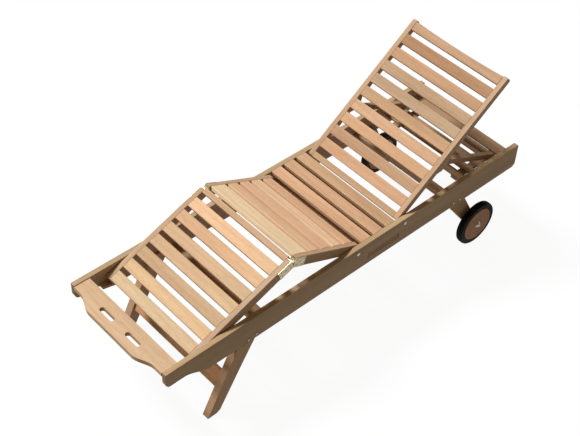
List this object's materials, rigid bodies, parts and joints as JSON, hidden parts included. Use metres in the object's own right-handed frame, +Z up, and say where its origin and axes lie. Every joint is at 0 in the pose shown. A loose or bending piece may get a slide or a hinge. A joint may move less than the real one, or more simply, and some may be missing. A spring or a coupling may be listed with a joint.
{
  "type": "reclining sun lounger",
  "caption": "Slatted hardwood sun lounger with a propped reclining backrest, linked thigh and calf panels on brass knee hinges, a slide-out tray and wheels at the head end.",
  "frame": {"origin": "middle of the footprint on the ground, which is the bottom centre of the bounding box at rest", "axes": "+Z up; +Y from the foot end with the handle board to the head end with the wheels; +X towards the side that the tray slides out of"},
  "size_m": [0.677, 2.033, 0.8788],
  "materials": {
    "hardwood": "sanded, oiled tropical hardwood, matte",
    "hardwood_red": "redder, darker hardwood, matte",
    "brass": "satin brass hinge plate",
    "zinc_steel": "zinc-plated steel",
    "tyre": "matte black solid rubber"
  },
  "bodies": {
    "base": {"rail_right": "hardwood", "rail_left": "hardwood", "handle_board": "hardwood", "seat_slat_1": "hardwood", "seat_slat_2": "hardwood", "seat_slat_3": "hardwood", "rack_crossbar": "hardwood", "cross_member": "hardwood", "tray_support": "hardwood", "rack_grating": "hardwood", "front_leg_right": "hardwood", "front_leg_left": "hardwood", "leg_stretcher": "hardwood_red", "rear_leg_right": "hardwood", "rear_leg_left": "hardwood", "axle": "zinc_steel", "thigh_pivot_rod": "zinc_steel", "back_pivot_rod": "zinc_steel", "calf_rest_right": "hardwood", "calf_rest_left": "hardwood"},
    "backrest": {"back_stile_right": "hardwood", "back_stile_left": "hardwood", "back_slat_01": "hardwood", "back_slat_02": "hardwood", "back_slat_03": "hardwood", "back_slat_04": "hardwood", "back_slat_05": "hardwood", "back_slat_06": "hardwood", "back_slat_07": "hardwood", "back_slat_08": "hardwood", "back_slat_09": "hardwood", "back_slat_10": "hardwood", "back_slat_11": "hardwood"},
    "prop": {"prop_frame": "hardwood"},
    "thigh_panel": {"thigh_stile_right": "hardwood", "thigh_stile_left": "hardwood", "thigh_slat_1": "hardwood", "thigh_slat_2": "hardwood", "thigh_slat_3": "hardwood", "thigh_slat_4": "hardwood", "thigh_slat_5": "hardwood", "knee_leaf_thigh_right": "brass", "knee_leaf_thigh_left": "brass"},
    "calf_panel": {"calf_stile_right": "hardwood", "calf_stile_left": "hardwood", "calf_slat_1": "hardwood", "calf_slat_2": "hardwood", "calf_slat_3": "hardwood", "calf_slat_4": "hardwood", "calf_slat_5": "hardwood", "calf_slat_6": "hardwood", "calf_slat_7": "hardwood", "calf_slat_8": "hardwood", "knee_leaf_calf_right": "brass", "knee_leaf_calf_left": "brass"},
    "tray_drawer": {"tray": "hardwood"},
    "wheel_right": {"wheel_disc_right": "hardwood_red", "tyre_right": "tyre"},
    "wheel_left": {"wheel_disc_left": "hardwood_red", "tyre_left": "tyre"}
  },
  "joints": [
    {"name": "backrest_tilt", "type": "hinge", "parent": "base", "child": "backrest", "pos_m": [0, 0.2858, 0.4217], "axis": [1, 0, 0], "range_deg": [-36.58, 0]},
    {"name": "prop_fold", "type": "hinge", "parent": "backrest", "child": "prop", "pos_m": [0, 0.52422, 0.5837], "axis": [1, 0, 0], "range_deg": [0, 62.08]},
    {"name": "thigh_tilt", "type": "hinge", "parent": "base", "child": "thigh_panel", "pos_m": [0, 0.011, 0.4188], "axis": [1, 0, 0], "range_deg": [0, 24.75]},
    {"name": "knee_fold", "type": "hinge", "parent": "thigh_panel", "child": "calf_panel", "pos_m": [0, -0.33125, 0.58341], "axis": [1, 0, 0], "range_deg": [-46.37, 0]},
    {"name": "tray_slide", "type": "slide", "parent": "base", "child": "tray_drawer", "axis": [1, 0, 0], "range_m": [0, 0.36]},
    {"name": "wheel_spin_right", "type": "hinge", "parent": "base", "child": "wheel_right", "pos_m": [0, 0.7825, 0.111], "axis": [1, 0, 0], "continuous": true},
    {"name": "wheel_spin_left", "type": "hinge", "parent": "base", "child": "wheel_left", "pos_m": [0, 0.7825, 0.111], "axis": [1, 0, 0], "continuous": true}
  ],
  "couplings": [
    {"joint": "prop_fold", "follows": "backrest_tilt", "ratio": -1.6971},
    {"joint": "knee_fold", "follows": "thigh_tilt", "ratio": -1.8735}
  ]
}
